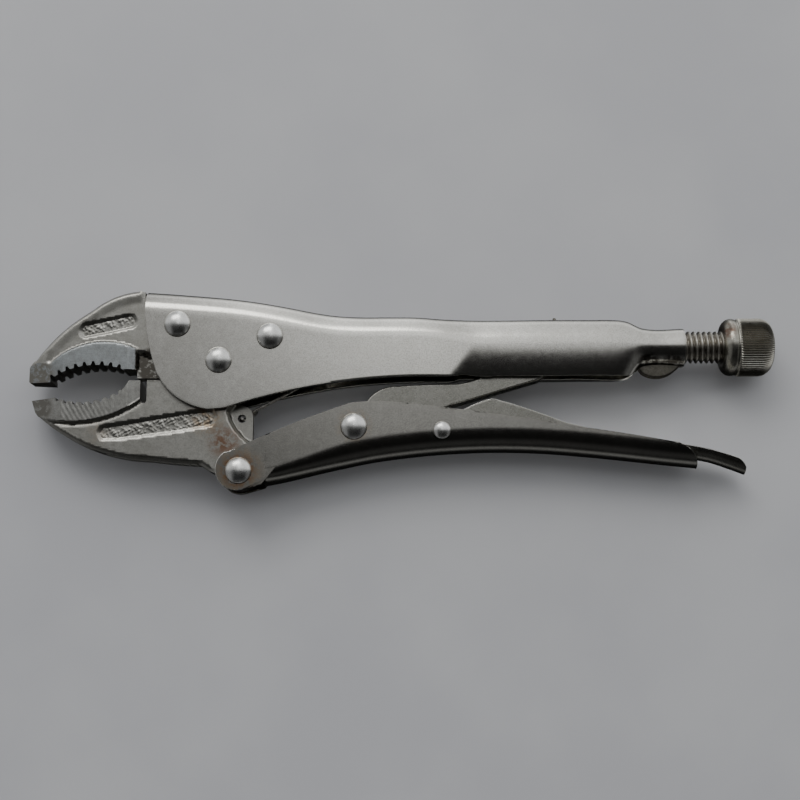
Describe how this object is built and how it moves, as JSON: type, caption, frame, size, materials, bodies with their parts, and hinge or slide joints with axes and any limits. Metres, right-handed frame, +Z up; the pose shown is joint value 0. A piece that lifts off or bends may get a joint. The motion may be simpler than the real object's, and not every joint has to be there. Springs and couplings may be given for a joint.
{
  "type": "locking pliers",
  "caption": "Curved-jaw locking pliers with pressed channel handles, toggle link, release lever and knurled adjusting screw.",
  "frame": {"origin": "under the middle of the outline, on the plane that the large rivet heads rest on, with the pliers lying on one side", "axes": "+X from the jaw tips to the adjusting knob, +Y from the lower handle to the upper handle, +Z up, along every pivot pin"},
  "size_m": [0.2488, 0.0679, 0.0198],
  "materials": {
    "satin_nickel": "satin nickel plate over pressed sheet steel",
    "forged_steel": "nickel plated forging, ground tooth pads",
    "dull_steel": "dull plated steel",
    "screw_steel": "plated steel, darkened in the thread",
    "spring_wire": "spring wire",
    "rivet_nickel": "polished nickel rivet heads"
  },
  "bodies": {
    "frame": {"upper_handle": "satin_nickel", "upper_jaw": "forged_steel", "front_jaw_rivet": "rivet_nickel", "rear_jaw_rivet": "rivet_nickel", "jaw_pivot_rivet": "rivet_nickel", "return_spring": "spring_wire"},
    "lower_jaw": {"lower_jaw": "forged_steel"},
    "lower_handle": {"lower_handle": "satin_nickel", "handle_pivot_rivet": "rivet_nickel", "toggle_pivot_rivet": "rivet_nickel", "lever_pivot_rivet": "rivet_nickel"},
    "toggle_link": {"toggle_link": "dull_steel"},
    "release_lever": {"release_lever": "dull_steel"},
    "screw_tip": {"screw_tip": "screw_steel"},
    "adjusting_screw": {"adjusting_screw": "screw_steel"}
  },
  "joints": [
    {"name": "jaw_pivot", "type": "hinge", "parent": "frame", "child": "lower_jaw", "pos_m": [-0.061, 0.0093, 0.0099], "axis": [0, 0, 1], "range_deg": [0, 15], "deforming": ["return_spring"]},
    {"name": "handle_pivot", "type": "hinge", "parent": "lower_jaw", "child": "lower_handle", "pos_m": [-0.0538, -0.0275, 0.0099], "axis": [0, 0, 1], "range_deg": [-50, 0]},
    {"name": "toggle_pivot", "type": "hinge", "parent": "lower_handle", "child": "toggle_link", "pos_m": [-0.0161, -0.0129, 0.0099], "axis": [0, 0, 1], "range_deg": [0, 54]},
    {"name": "lever_pivot", "type": "hinge", "parent": "lower_handle", "child": "release_lever", "pos_m": [0.0129, -0.0141, 0.0099], "axis": [0, 0, 1], "range_deg": [0, 4]},
    {"name": "screw_travel", "type": "slide", "parent": "frame", "child": "screw_tip", "axis": [1, 0, 0], "range_m": [0, 0.025]},
    {"name": "screw_turn", "type": "hinge", "parent": "screw_tip", "child": "adjusting_screw", "pos_m": [0.057, 0.015, 0.0099], "axis": [1, 0, 0], "range_deg": [0, 4962]}
  ],
  "couplings": [
    {"joint": "jaw_pivot", "follows": "handle_pivot", "ratio": -0.3},
    {"joint": "toggle_pivot", "follows": "handle_pivot", "ratio": -1.08},
    {"joint": "screw_turn", "follows": "screw_travel", "rad_per_m": 3463.7}
  ]
}
